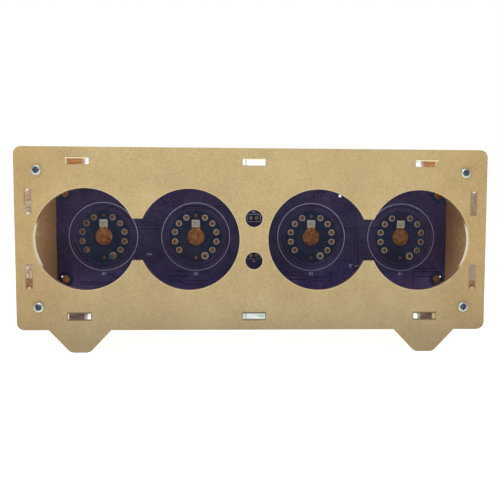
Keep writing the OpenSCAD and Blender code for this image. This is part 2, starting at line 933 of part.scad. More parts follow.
module inductor_drum() {
    color([0.25, 0.25, 0.26]) in_frame() on_board(inductor_x, -supply_z)
        cylinder(r = drum_r, h = coil_h);
}

module inductor_frame() {
    ring_play = 0.1;
    color([0.3, 0.3, 0.31]) in_frame() on_board(inductor_x, -supply_z) difference() {
        linear_extrude(coil_h - 0.3) rounded(coil_w, coil_w, 1.5);
        translate([0, 0, -over]) cylinder(r = drum_r + ring_play, h = coil_h + 2 * over);
    }
}

tab_plate_t = 0.5;

module switching_transistor() {
    color([0.12, 0.12, 0.13]) in_frame() on_board(transistor_x, -supply_z)
        translate([0, 0, tab_plate_t]) block(transistor_w, transistor_l, transistor_t - tab_plate_t);
}

module switching_transistor_tab() {
    tail_l = 2.4;
    tail_w = 0.7;
    color("silver") in_frame() on_board(transistor_x, -supply_z) {
        translate([0, 0.6, 0]) block(transistor_w * 0.82, transistor_l, tab_plate_t);
        for (s = SIDES) translate([s * 2.28, -transistor_l / 2 - tail_l / 2 + 0.3, 0])
            block(tail_w, tail_l, tab_plate_t);
    }
}

module rectifier() {
    color([0.12, 0.12, 0.13]) in_frame() on_board(rectifier_x, -supply_z - 2.6)
        translate([0, 0, lead_t]) block(rectifier_l, rectifier_w, rectifier_t - lead_t);
}

module rectifier_leads() {
    strap_l = 1.4;
    color("silver") in_frame() on_board(rectifier_x, -supply_z - 2.6)
        for (s = SIDES) translate([s * (rectifier_l / 2 - strap_l / 2 + 0.4), 0, 0])
            block(strap_l, rectifier_w * 0.55, lead_t);
}

module at_cans() {
    for (i = [0, 1]) on_board(can_x - i * can_pitch, -supply_z) children();
}

module can_capacitors() {
    color("silver") in_frame() at_cans() translate([0, 0, can_base_t]) difference() {
        cylinder(r = can_r, h = can_h - can_base_t);
        translate([0, 0, 0.9]) difference() {
            cylinder(r = can_r + over, h = 0.25);
            translate([0, 0, -over]) cylinder(r = can_r - 0.15, h = 2);
        }
    }
}

module can_capacitor_bases() {
    w = 2 * can_r + 0.3;
    c = w * 0.22;
    color([0.12, 0.12, 0.12]) in_frame() at_cans() linear_extrude(can_base_t) polygon([
        [-w / 2, -w / 2], [w / 2, -w / 2], [w / 2, w / 2 - c], [w / 2 - c, w / 2],
        [-w / 2 + c, w / 2], [-w / 2, w / 2 - c]
    ]);
}

module ceramic_capacitors() {
    color([0.66, 0.5, 0.33]) in_frame()
        for (i = [0, 1]) on_board(block_x + i * (block_l + block_gap), -supply_z)
            block(block_l, block_w, block_t);
}

module voltage_regulator() {
    color([0.12, 0.12, 0.13]) in_frame() on_board(regulator_x, -supply_z)
        translate([0, 0, lead_t]) block(regulator_l, regulator_w, regulator_t - lead_t);
}

module voltage_regulator_leads() {
    reach = 1.6;
    color("silver") in_frame() on_board(regulator_x, -supply_z) {
        translate([0, (regulator_w + reach) / 2 - 0.3, 0]) block(3, reach, lead_t);
        for (i = [-1:1]) translate([i * 2.3, -(regulator_w + reach) / 2 + 0.3, 0])
            block(0.7, reach, lead_t);
    }
}

resistor_end_l = 0.45;

module at_resistors() {
    for (i = [0:resistor_count - 1])
        on_board(resistor_x - i * resistor_pitch, -supply_z - 2.2) children();
}

module resistors() {
    color([0.1, 0.1, 0.1]) in_frame() at_resistors()
        block(resistor_w, resistor_l - 2 * resistor_end_l, resistor_t);
}

module resistor_ends() {
    color("silver") in_frame() at_resistors()
        for (s = SIDES) translate([0, s * (resistor_l - resistor_end_l) / 2, 0])
            block(resistor_w, resistor_end_l, resistor_t);
}

front_panel();
front_panel_paper();
back_panel();
back_panel_paper();
top_panel();
top_panel_paper();
bottom_panel();
bottom_panel_paper();
left_panel();
left_panel_paper();
right_panel();
right_panel_paper();
case_pillars();
front_screws();
rear_screws();
circuit_board();
tube_pin_eyelets();
lamp_lead_eyelets();
backlight_diodes();
backlight_lenses();
backlight_leads();
switch_housings();
switch_domes();
switch_covers();
switch_legs();
up_button();
set_button();
down_button();
power_socket_shell();
power_socket_tongue();
digit_driver_chips();
digit_driver_leads();
controller_chip();
controller_leads();
clock_chip();
clock_chip_leads();
clock_crystal();
coin_cell();
coin_cell_base();
coin_cell_clip();
inductor_drum();
inductor_frame();
switching_transistor();
switching_transistor_tab();
rectifier();
rectifier_leads();
can_capacitors();
can_capacitor_bases();
ceramic_capacitors();
voltage_regulator();
voltage_regulator_leads();
resistors();
resistor_ends();
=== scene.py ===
import math

import bmesh
import bpy
from mathutils import Matrix, Vector


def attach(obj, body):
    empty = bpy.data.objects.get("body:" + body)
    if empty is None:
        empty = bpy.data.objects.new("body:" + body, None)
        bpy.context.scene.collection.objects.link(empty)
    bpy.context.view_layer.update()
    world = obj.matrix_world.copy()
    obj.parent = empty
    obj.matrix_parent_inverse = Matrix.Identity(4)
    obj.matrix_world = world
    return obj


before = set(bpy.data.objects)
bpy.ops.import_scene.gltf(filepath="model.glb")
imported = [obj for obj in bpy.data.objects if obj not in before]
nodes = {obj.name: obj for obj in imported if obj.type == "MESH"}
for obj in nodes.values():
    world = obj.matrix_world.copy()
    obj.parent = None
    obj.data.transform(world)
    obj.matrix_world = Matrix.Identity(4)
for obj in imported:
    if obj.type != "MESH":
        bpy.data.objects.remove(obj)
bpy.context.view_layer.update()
scene = bpy.context.scene
MM = 0.001

# ------------------------------------------------------------ the part's measures, in mm
LINE_Z = 44.5               # height of the line through the middles of the round windows
BOARD_Y = 12.4              # front face of the board
TUBES_X = (-65.4, -25.4, 25.4, 65.4)
WINDOW_R = 19.8
LAMP_Z = 8.3                # lamp windows above and below the line
LAMP_R = 3.37
PIN_PLACES = 14             # places on a tube's pin circle
PIN_RING_R = 9.28
BARE_R = 11.5               # board without copper round a tube's pins
SCREW_X, SCREW_Z = 83.4, 26.5        # screws, from the middle of the line
SPARE_X, SPARE_Z = 82.0, 18.7        # spare fixing holes of the board
GLINT_X, GLINT_Z = 83.45, 17.6       # daylight beside the two lower spare holes
TAB_X = 68.1                # outer tabs of the top and the bottom panel
HIGH_TAB_Z, LOW_TAB_Z = 74.7, 14.3
SLOT_HALF_W, SLOT_HALF_H = 4.5, 1.45
SIDE_X = 87.05              # middle of the side panels' thickness
SIDE_TAB_Z = 14.5           # side tabs above and below the line
TAB_END_Y = (22.55, 22.7)   # where a tab turns into its cut end
WALL_X = (84.5, 85.0)       # inner faces of the side panels
INSIDE = (85.8, 20.05, 28.9)         # half sizes of the room inside the case

# ------------------------------------------------------------ camera, fitted to the photo
CAMERA_AT = (-1.33, -306.19, 54.65)
TILT, TURN, ROLL = 0.074, -0.050, 0.001
SENSOR, LENS = 36.0, 51.98
SHIFT = (-0.0735, 0.0348)
NEAREST, FARTHEST = 0.01, 20.0       # in metres


def rot(axis, angle):
    return Matrix.Rotation(angle, 3, axis)


def sight(row):
    """A row of the fitted rotation, with its height turned from down to up."""
    return Vector((row[0], row[2], -row[1]))


right, down, ahead = map(sight, rot('Z', ROLL) @ rot('Y', TURN) @ rot('X', TILT))
cam_data = bpy.data.cameras.new("camera")
cam = bpy.data.objects.new("camera", cam_data)
scene.collection.objects.link(cam)
cam.matrix_world = (Matrix.Translation(Vector(CAMERA_AT) * MM)
                    @ Matrix((right, -down, -ahead)).transposed().to_4x4())
cam_data.sensor_width = SENSOR
cam_data.lens = LENS
cam_data.shift_x, cam_data.shift_y = SHIFT
cam_data.clip_start = NEAREST
cam_data.clip_end = FARTHEST
cam_data.dof.use_dof = False
scene.camera = cam

# ------------------------------------------------------------ light
SKY_LIGHT = 0.275           # what the white studio gives the part
SKY_SEEN = 1.0              # how bright it looks behind the part
WHITE = (1.0, 1.0, 1.0, 1.0)

scene.view_settings.view_transform = 'Standard'
world = bpy.data.worlds.new("studio")
scene.world = world
world.use_nodes = True
sky = world.node_tree
lit = sky.nodes["Background"]
seen = sky.nodes.new("ShaderNodeBackground")
for background, strength in ((lit, SKY_LIGHT), (seen, SKY_SEEN)):
    background.inputs["Color"].default_value = WHITE
    background.inputs["Strength"].default_value = strength
path = sky.nodes.new("ShaderNodeLightPath")
pick = sky.nodes.new("ShaderNodeMixShader")
sky.links.new(path.outputs["Is Camera Ray"], pick.inputs[0])
sky.links.new(lit.outputs[0], pick.inputs[1])
sky.links.new(seen.outputs[0], pick.inputs[2])
sky.links.new(pick.outputs[0], sky.nodes["World Output"].inputs["Surface"])


def soft_light(name, place, target, size, power):
    """A round lamp, with its places and size in metres."""
    data = bpy.data.lights.new(name, 'AREA')
    data.shape = 'DISK'
    data.size = size
    data.energy = power
    lamp = bpy.data.objects.new(name, data)
    scene.collection.objects.link(lamp)
    lamp.location = place
    lamp.rotation_euler = (Vector(target) - Vector(place)).to_track_quat('-Z', 'Y').to_euler()


soft_light("key", place=(-0.12, -0.42, 0.46), target=(0, -0.02, 0.05), size=0.30, power=1.2)
soft_light("fill", place=(0.7, -0.8, 0.3), target=(0, 0, 0.045), size=0.7, power=0.5)

# ------------------------------------------------------------ floor
FLOOR_HALF = 6.0            # in metres
FLOOR_GLOW = 0.8
floor_mesh = bpy.data.meshes.new("floor")
floor_mesh.from_pydata([(-FLOOR_HALF, -FLOOR_HALF, 0), (FLOOR_HALF, -FLOOR_HALF, 0),
                        (FLOOR_HALF, FLOOR_HALF, 0), (-FLOOR_HALF, FLOOR_HALF, 0)],
                       [], [(0, 1, 2, 3)])
floor = bpy.data.objects.new("floor", floor_mesh)
scene.collection.objects.link(floor)


# ------------------------------------------------------------ shading helpers
def lin(r, g, b):
    """A screen colour as light."""
    def one(c):
        c /= 255.0
        return c / 12.92 if c <= 0.04045 else ((c + 0.055) / 1.055) ** 2.4
    return (one(r), one(g), one(b), 1.0)


def darker(rgb, by):
    return tuple(max(0, c - by) for c in rgb)


def paler(rgb, by):
    return tuple(min(255, c + by) for c in rgb)


BLACK, SNOW = (0, 0, 0), (255, 255, 255)


class Mat:
    """A material with short calls for its nodes. Places come in metres, in the part's own frame;
    edge, fade, within, past, off, below and above compare them with measures in mm. Colours are
    screen colours from 0 to 255."""

    def __init__(self, name, rough=0.5, metal=0.0, ior=1.5, spec=0.5):
        self.m = bpy.data.materials.new(name)
        self.m.use_nodes = True
        self.t = self.m.node_tree
        self.b = self.t.nodes["Principled BSDF"]
        self.b.inputs["Roughness"].default_value = rough
        self.b.inputs["Metallic"].default_value = metal
        self.b.inputs["IOR"].default_value = ior
        self.b.inputs["Specular IOR Level"].default_value = spec
        self.co = self.t.nodes.new("ShaderNodeTexCoord").outputs["Object"]
        self.base = None
        self._xyz = None

    def put(self, socket, value):
        if isinstance(value, bpy.types.NodeSocket):
            self.t.links.new(value, socket)
        elif isinstance(value, tuple):
            socket.default_value = lin(*value)
        else:
            socket.default_value = value

    def new(self, kind, **props):
        n = self.t.nodes.new(kind)
        for k, v in props.items():
            setattr(n, k, v)
        return n

    @property
    def xyz(self):
        if self._xyz is None:
            s = self.new("ShaderNodeSeparateXYZ")
            self.put(s.inputs[0], self.co)
            self._xyz = s.outputs
        return self._xyz

    # numbers
    def calc(self, op, *values):
        n = self.new("ShaderNodeMath", operation=op)
        for socket, value in zip(n.inputs, values):
            self.put(socket, value)
        return n.outputs[0]

    def chain(self, op, first, *others):
        for other in others:
            first = self.calc(op, first, other)
        return first

    def mul(self, *values):
        return self.chain('MULTIPLY', *values)

    def most(self, *values):
        return self.chain('MAXIMUM', *values)

    def least(self, *values):
        return self.chain('MINIMUM', *values)

    def abs(self, value):
        return self.calc('ABSOLUTE', value)

    def rest(self, share):
        return self.calc('SUBTRACT', 1.0, share)

    def linear(self, value, slope, start):
        return self.calc('MULTIPLY_ADD', value, slope, start)

    def weigh(self, a, share, b):
        """a by its share, b by the rest."""
        return self.linear(a, share, self.mul(b, 1.0 - share))

    def length(self, a, b):
        return self.calc('SQRT', self.calc('ADD', self.mul(a, a), self.mul(b, b)))

    def smooth(self, value, lo, hi):
        """0 below lo, 1 above hi."""
        n = self.new("ShaderNodeMapRange", interpolation_type='SMOOTHSTEP')
        self.put(n.inputs["Value"], value)
        n.inputs["From Min"].default_value = lo
        n.inputs["From Max"].default_value = hi
        return n.outputs[0]

    # places and measures
    def edge(self, value, lo, hi):
        return self.smooth(value, lo * MM, hi * MM)

    def fade(self, value, lo, hi):
        """1 below lo, 0 above hi."""
        return self.rest(self.edge(value, lo, hi))

    def within(self, value, lo, hi, soft):
        """1 between lo and hi, fading over soft on both sides of each."""
        return self.mul(self.edge(value, lo - soft, lo + soft),
                        self.fade(value, hi - soft, hi + soft))

    def past(self, value, place):
        return self.calc('SUBTRACT', value, place * MM)

    def off(self, value, place):
        """How far value is from place, on either side."""
        return self.abs(self.past(value, place))

    def below(self, value, place):
        return self.calc('LESS_THAN', value, place * MM)

    def above(self, value, place):
        return self.calc('GREATER_THAN', value, place * MM)

    def around(self, cx, cz):
        """Distance from the line along Y through (cx, cz)."""
        x, _, z = self.xyz
        return self.length(self.past(x, cx), self.past(z, cz))

    def from_tube(self):
        """Steps across and up from the nearest tube's line: |x| is folded on the tubes' places."""
        x, _, z = self.xyz
        half = (TUBES_X[3] - TUBES_X[2]) / 2
        return (self.past(self.off(self.abs(x), TUBES_X[2] + half), half),
                self.past(z, LINE_Z))

    def tube_fold(self):
        """Distance from the nearest tube's line."""
        return self.length(*self.from_tube())

    def window_fold(self):
        """Distance from the nearest window's line, counted as if every window had WINDOW_R."""
        x, _, z = self.xyz
        lamp = self.length(x, self.past(self.off(z, LINE_Z), LAMP_Z))
        return self.least(self.tube_fold(),
                          self.calc('ADD', lamp, (WINDOW_R - LAMP_R) * MM))

    # patterns
    def noise(self, scale, detail=3.0, rough=0.55, co=None):
        n = self.new("ShaderNodeTexNoise")
        self.put(n.inputs["Vector"], co or self.co)
        n.inputs["Scale"].default_value = scale
        n.inputs["Detail"].default_value = detail
        n.inputs["Roughness"].default_value = rough
        return n.outputs["Fac"]

    def streaks(self, scales, detail=3.0, rough=0.6):
        """Noise with its own scale along each axis."""
        n = self.new("ShaderNodeMapping")
        self.put(n.inputs["Vector"], self.co)
        n.inputs["Scale"].default_value = scales
        return self.noise(1.0, detail, rough, co=n.outputs[0])

    def specks(self, scale, share, size):
        """1 in a few small round spots."""
        n = self.new("ShaderNodeTexVoronoi")
        self.put(n.inputs["Vector"], self.co)
        n.inputs["Scale"].default_value = scale
        s = self.new("ShaderNodeSeparateColor")
        self.put(s.inputs[0], n.outputs["Color"])
        few = self.calc('LESS_THAN', s.outputs[0], share)
        near = self.rest(self.smooth(n.outputs["Distance"], size * 0.5, size))
        return self.mul(few, near)

    # colours
    def ramp(self, value, *stops):
        """Colours along value, from (place, colour) pairs."""
        n = self.new("ShaderNodeValToRGB")
        self.put(n.inputs[0], value)
        e = n.color_ramp.elements
        while len(e) < len(stops):
            e.new(0.5)
        for el, (place, colour) in zip(e, stops):
            el.position = place
            el.color = lin(*colour)
        return n.outputs[0]

    def tones(self, value, half, *colours):
        """Two or three colours, evenly set from half below to half above the middle of value."""
        step = 2 * half / (len(colours) - 1)
        return self.ramp(value, *[(0.5 - half + step * i, c) for i, c in enumerate(colours)])

    def mix(self, fac, a, b, how='MIX'):
        n = self.new("ShaderNodeMix", data_type='RGBA', blend_type=how)
        self.put(n.inputs[0], fac)
        self.put(n.inputs[6], a)
        self.put(n.inputs[7], b)
        return n.outputs[2]

    def tint(self, fac, a, b):
        return self.mix(fac, a, b, 'MULTIPLY')

    # the shader's own inputs
    def color(self, c):
        self.base = c
        self.put(self.b.inputs["Base Color"], c)

    def rough(self, r):
        self.put(self.b.inputs["Roughness"], r)

    def see_through(self, value):
        self.put(self.b.inputs["Transmission Weight"], value)

    def glow(self, colour, strength):
        self.put(self.b.inputs["Emission Color"], colour)
        self.b.inputs["Emission Strength"].default_value = strength

    def bump(self, height, depth, strength=1.0):
        n = self.new("ShaderNodeBump")
        n.inputs["Strength"].default_value = strength
        n.inputs["Distance"].default_value = depth * MM
        self.put(n.inputs["Height"], height)
        self.put(self.b.inputs["Normal"], n.outputs[0])


# ------------------------------------------------------------ materials
PAPER_GLOW = 0.135          # daylight through the back panel's paper
RIM_GLOW = 0.45             # the lit line on the rims of the outer windows
TAB_GLOW = 0.1              # painted light: the glow of the tabs' cut ends
GLINT_GLOW = 0.8            # daylight beside the spare holes


def grained(name, rgb, spread, rough, metal=0.0, grain=1400, bump=0.004, wear=0.06, spec=0.5):
    """Moulded, pressed or cast stuff: a colour that wanders a little, fine grain, uneven gloss."""
    m = Mat(name, rough, metal, spec=spec)
    wide = m.noise(grain / 12)
    fine = m.noise(grain, 4.0)
    m.color(m.ramp(m.weigh(fine, 0.6, wide),
                   (0.36, darker(rgb, spread)), (0.62, paler(rgb, spread))))
    m.rough(m.linear(wide, wear, rough - wear / 2))
    m.bump(fine, bump)
    return m


def brushed(name, rgb, spread, rough, scales):
    """Metal with fine lines along the axis of the smallest scale."""
    m = Mat(name, rough, 1.0)
    lines = m.streaks(scales)
    both = m.weigh(lines, 0.6, m.noise(500))
    m.color(m.tones(both, 0.15, darker(rgb, spread), paler(rgb, spread)))
    m.rough(m.linear(both, 0.2, rough - 0.1))
    m.bump(lines, 0.006, 0.5)
    return m


def floor_material():
    m = Mat("floor", 0.9)
    m.color(m.tones(m.noise(6, 2.0), 0.2, (250, 250, 250), (254, 254, 254)))
    m.glow(SNOW, FLOOR_GLOW)
    return m


def kraft(name, glow=0.0):
    """Brown masking paper: short fibres both ways, cloudy mottling, a few dark and pale specks.
    Inside the case it is painted redder, for the orange daylight that comes through the paper, and
    that daylight is painted as a glow there where glow says so."""
    m = Mat(name, 0.82, spec=0.25)
    x, y, z = m.xyz
    wide = m.abs(x)
    on_right = m.above(x, 0)
    fine = m.noise(1500, 5.0, 0.65)
    fibres = m.weigh(m.streaks((520, 520, 2600), 4.0), 0.5, m.streaks((2600, 2600, 520), 4.0))
    pulp = m.weigh(m.noise(70, 3.0, 0.6), 0.24, m.weigh(fine, 0.45, fibres))

    outer = m.tones(pulp, 0.14, (170, 148, 106), (190, 168, 122), (205, 184, 139))
    outer = m.mix(m.mul(m.specks(900, 0.05, 0.30), 0.45), outer, (118, 92, 60))
    outer = m.mix(m.mul(m.specks(1300, 0.06, 0.26), 0.30), outer, (226, 208, 170))
    # duller toward the ends, and painted shade toward the bottom and the feet
    outer = m.tint(m.mul(m.edge(wide, 58, 94), 0.8), outer, (249, 238, 226))
    outer = m.tint(m.mul(m.fade(z, 0, 55), 0.75), outer, (226, 228, 235))
    outer = m.tint(m.fade(z, 3, 20), outer, (232, 234, 240))
    # a pale cut rim round the windows of the front panel
    rim = m.mul(m.fade(m.window_fold(), WINDOW_R + 0.15, WINDOW_R + 0.4), m.below(y, -15))
    outer = m.mix(m.mul(rim, 0.3), outer, (236, 220, 180))
    # painted shadow: a dark line round the lower slots, the shade in the gap between slot and tab
    past_slot = m.most(m.past(m.least(wide, m.off(wide, TAB_X)), SLOT_HALF_W),
                       m.past(m.off(z, LOW_TAB_Z), SLOT_HALF_H))
    slot_gap_shade = m.mul(m.fade(past_slot, 0.08, 0.42), m.above(m.abs(y), 20))
    outer = m.mix(m.mul(slot_gap_shade, 0.75), outer, (112, 92, 66))

    half_x, half_y, half_z = INSIDE
    inside = m.mul(m.below(wide, half_x), m.below(m.abs(y), half_y),
                   m.below(m.off(z, LINE_Z), half_z))
    blot = m.weigh(m.noise(420, 3.0, 0.6), 0.75, pulp)
    # painted light: the paper inside the case is redder, for daylight through it; on the back
    # panel there is also a painted glow
    if glow:
        flecks = m.weigh(m.noise(640, 4.0, 0.6), 0.65, blot)
        dim = m.mix(on_right, SNOW, (229, 232, 242))
        inner = m.tones(flecks, 0.12, (121, 79, 55), (168, 116, 81), (202, 147, 103))
        inner = m.tint(1.0, inner, dim)
        light = m.tones(flecks, 0.13, (163, 96, 70), (233, 155, 102), (255, 188, 131))
        m.glow(m.mix(inside, BLACK, m.tint(1.0, light, dim)), glow)
    else:
        inner = m.tones(blot, 0.16, (186, 146, 114), (206, 164, 130), (222, 180, 146))
        # painted shade: the right walls darker than the left
        walls = m.mix(
            on_right,
            m.tones(blot, 0.16, (200, 163, 118), (220, 182, 133), (236, 198, 149)),
            m.tones(blot, 0.16, (180, 143, 106), (200, 161, 120), (216, 177, 136)))
        # painted shade: the walls darker high up, under the top panel
        walls = m.tint(m.mul(m.edge(z, LINE_Z + 3, LINE_Z + 10), 0.7), walls,
                       m.mix(on_right, (234, 230, 232), (220, 218, 224)))
        wall = m.edge(wide, *WALL_X)
        inner = m.mix(wall, inner, walls)
        # painted light: the walls paler low down, where light bounces up
        low = m.mul(wall, m.fade(z, LINE_Z - 20, LINE_Z - 2))
        inner = m.mix(m.mul(low, 0.7), inner, (246, 214, 168))
    m.color(m.mix(inside, outer, inner))
    m.rough(m.linear(fine, 0.16, 0.74))
    m.bump(pulp, 0.035, 0.6)
    return m


def acrylic(name, tint, clear):
    """Clear cast sheet, laser cut: glossy faces and faint upright cut lines on the edges."""
    m = Mat(name, 0.14, ior=1.49)
    cut = m.streaks((2600, 90, 2600), rough=0.5)
    m.color(m.tones(cut, 0.15, darker(tint, 14), tint))
    m.rough(m.linear(cut, 0.14, 0.08))
    m.see_through(clear)
    m.bump(cut, 0.006, 0.35)
    return m


FRONT_TINT, FRONT_CLEAR = (240, 238, 220), 0.45
REST_TINT, REST_CLEAR = (238, 234, 214), 0.35


def window_sheet():
    """The front panel: clear sheet whose window rims are painted with the brown of the wall seen
    behind them, and with a painted highlight, a pale glowing line, on the far left and the far
    right."""
    m = acrylic("acrylic_front", FRONT_TINT, FRONT_CLEAR)
    x, _, z = m.xyz
    wide = m.abs(x)
    neck = m.mul(m.below(m.off(z, LINE_Z), 9), m.within(wide, 38, 52, 1))
    rim = m.most(m.below(m.window_fold(), WINDOW_R + 0.3), neck)
    bright = m.mul(m.within(z, LINE_Z - 10.5, LINE_Z + 6.2, 1.8), m.above(wide, 82))
    fine = m.noise(1600)
    # painted: the rims take the brown of the wall behind, and a painted highlight on the far left
    # and right
    look = m.mix(bright, m.tones(fine, 0.14, (158, 124, 88), (190, 152, 110)),
                 m.ramp(fine, (0.36, (206, 200, 170)), (0.6, (244, 240, 216))))
    m.color(m.mix(rim, m.base, look))
    m.see_through(m.linear(rim, -FRONT_CLEAR, FRONT_CLEAR))
    m.glow(m.mix(m.mul(rim, bright), BLACK, look), RIM_GLOW)
    return m


def side_tab_look(m):
    """Cut ends of the side panels' tabs: speckled, brown at the foot, with painted daylight at the
    tips.
    """
    x, _, z = m.xyz
    on_right = m.above(x, 0)
    from_line = m.off(z, LINE_Z)
    blot = m.noise(1600, 3.0, 0.6)
    look = m.ramp(m.weigh(blot, 0.7, m.streaks((900, 900, 120))),
                  (0.38, (128, 102, 78)), (0.50, (164, 140, 114)),
                  (0.60, (188, 168, 144)), (0.68, (222, 210, 194)))
    look = m.mix(m.mul(on_right, 0.65), look, (128, 108, 86))
    foot = m.calc('LESS_THAN', z, m.linear(on_right, -0.8 * MM, (LINE_Z - 15.2) * MM))
    look = m.mix(foot, look, m.tones(blot, 0.1, (94, 60, 26), (144, 98, 50)))
    # painted daylight through the slots' gaps: at both tips on the upper left, elsewhere only at
    # the one away from the line
    both = m.mul(m.rest(on_right), m.above(z, LINE_Z))
    dull = m.mul(m.below(from_line, SIDE_TAB_Z), m.rest(both))
    middle = m.fade(m.off(m.abs(x), SIDE_X), 0.4, 0.7)
    tip = m.edge(m.off(from_line, SIDE_TAB_Z), 4.1, 4.4)
    return m.mix(m.mul(tip, middle, m.rest(dull), m.linear(foot, -0.25, 0.8)),
                 look, (255, 246, 232))


def lid_tab_look(m, level):
    """Cut ends of the top or the bottom panel's tabs: the outer ones show brown paper, a haze and
    daylight toward the middle, the one in the middle shows daylight all over."""
    x, _, z = m.xyz
    high = level > LINE_Z
    wide = m.abs(x)
    on_right = m.above(x, 0)
    up = m.past(z, level)
    out = m.past(wide, TAB_X)
    streak = m.streaks((240, 900, 1500))
    if high:
        brown = m.tones(streak, 0.14, (136, 88, 46), (160, 108, 60), (182, 132, 84))
        day = m.ramp(streak, (0.3, (228, 231, 222)), (0.6, (250, 251, 250)))
    else:
        brown = m.tones(streak, 0.14, (54, 31, 12), (72, 44, 22), (95, 65, 37))
        day = m.ramp(streak, (0.36, (158, 166, 163)), (0.6, (210, 218, 213)))
    shifted = m.linear(on_right, (-0.7 if high else -0.3) * MM, out)
    brown = m.mix(m.mul(m.fade(shifted, -2.9, -1.5), 0.6), brown,
                  m.tones(streak, 0.1, (150, 150, 156), (214, 196, 186)))
    brown = m.mix(m.fade(m.linear(up, 0.1, shifted), -3.7, -2.9), brown,
                  m.ramp(streak, (0.36, (214, 220, 220)), (0.5, SNOW)))
    far_end = m.edge(m.linear(on_right, 0.9 * MM, out), 3.8, 4.1)
    brown = m.mix(m.mul(far_end, 0.75), brown,
                  m.mix(on_right, (232, 222, 196), (196, 172, 126)))
    day = m.mix(m.mul(m.within(x, -3.5, -2.9, 0.15), 0.5), day, (150, 156, 156))
    look = m.mix(m.edge(wide, 40, 41), day, brown)
    if high:
        return m.mix(m.mul(m.edge(up, 0.75, 1.0), 0.85), look, (238, 226, 186))
    # painted shadow: a dark line along the top and the bottom of the lower tabs' ends, the shade
    # in the slot's gap
    return m.mix(m.mul(m.edge(m.abs(up), 0.95, 1.15), 0.85), look, (84, 66, 46))


def tab_sheet(name, look_of, *where):
    """Clear sheet whose tabs end in the slots of the front and the back panel: there the cut end
    is painted with what lies behind it, brown paper or bright daylight, and glows faintly with it."""
    m = acrylic(name, REST_TINT, REST_CLEAR)
    end = m.edge(m.abs(m.xyz[1]), *TAB_END_Y)
    look = look_of(m, *where)
    m.color(m.mix(end, m.base, look))
    m.see_through(m.linear(end, -REST_CLEAR, REST_CLEAR))
    m.glow(m.mix(end, BLACK, look), TAB_GLOW)
    return m


def solder_mask():
    """Purple lacquer over copper, blue-black where the copper is left out. The purple's tone
    wanders at random, and is painted lighter and darker by region with the light and shade that
    fall on the board in the case."""
    m = Mat("solder_mask", 0.3, spec=0.12)
    x, y, z = m.xyz
    wide = m.abs(x)
    tone = m.weigh(m.noise(1100), 0.5, m.noise(120))
    far = m.edge(wide, 64, 80)

    def purple_to(share, shown, dark, pale):
        return m.mix(m.mul(share, shown), purple, m.tones(tone, 0.12, dark, pale))

    # the lacquer, painted light and shade: paler low down, a little redder high up, paler at the
    # far ends
    purple = m.tones(tone, 0.12, (57, 53, 88), (79, 73, 112))
    low = m.fade(z, LINE_Z - 20, LINE_Z - 4)
    purple = purple_to(low, 0.85, (74, 72, 126), (100, 96, 156))
    high = m.mul(m.edge(z, LINE_Z + 6, LINE_Z + 18),
                 m.linear(m.edge(m.off(x, -8), 34, 48), -0.75, 1.0))
    purple = purple_to(high, 0.45, (74, 62, 100), (98, 84, 130))
    purple = purple_to(far, 0.42, (84, 80, 120), (110, 104, 152))
    # painted light: palest along the bottom, except between the left pair of tubes
    deep = m.mul(m.fade(z, LINE_Z - 20, LINE_Z - 14),
                 m.most(m.within(x, 6, 21, 3), m.within(x, 56, 90, 4), m.fade(x, -78, -66)))
    purple = purple_to(deep, 0.8, (100, 94, 150), (124, 116, 180))
    # painted shade: darker left of the third tube, and under the first and the second
    dull = m.most(m.mul(m.within(x, 6, 19, 3), m.within(z, LINE_Z + 4, LINE_Z + 19, 2)),
                  m.mul(m.within(x, -26, -8, 3), m.fade(z, LINE_Z - 15, LINE_Z - 10)),
                  m.mul(m.within(x, -72, -52, 3), m.within(z, LINE_Z - 14, LINE_Z - 8, 2)))
    purple = m.tint(dull, purple, (222, 230, 222))

    # bare board: painted light, paler at the far ends; warmer under the second tube
    dark = m.tones(tone, 0.14, (34, 46, 76), (48, 60, 92))
    dark = m.mix(far, dark, m.tones(tone, 0.14, (52, 66, 98), (70, 84, 118)))
    dark = m.mix(m.fade(m.around(-28.5, LINE_Z - 5), 3, 10), dark,
                 m.tones(tone, 0.14, (50, 56, 82), (64, 70, 98)))

    round_tubes = m.fade(m.tube_fold(), BARE_R - 0.3, BARE_R + 0.3)
    round_spares = [m.fade(m.around(sx * SPARE_X, LINE_Z + sz * SPARE_Z), 3.2, 3.5)
                    for sx in (-1, 1) for sz in (-1, 1)]
    at_lamps = m.mul(m.below(wide, 3.1), m.below(m.off(m.off(z, LINE_Z), LAMP_Z), 1.7))
    bare = m.most(round_tubes, *round_spares, at_lamps)
    glint = m.least(*[m.around(s * GLINT_X, LINE_Z - GLINT_Z) for s in (-1, 1)])
    glint = m.mul(m.fade(glint, 0.25, 0.5), m.below(y, 13))
    m.color(m.mix(glint, m.mix(bare, purple, dark), SNOW))
    m.glow(m.mix(glint, BLACK, SNOW), GLINT_GLOW)
    m.rough(m.linear(tone, 0.2, 0.22))
    m.bump(tone, 0.012, 0.4)
    return m


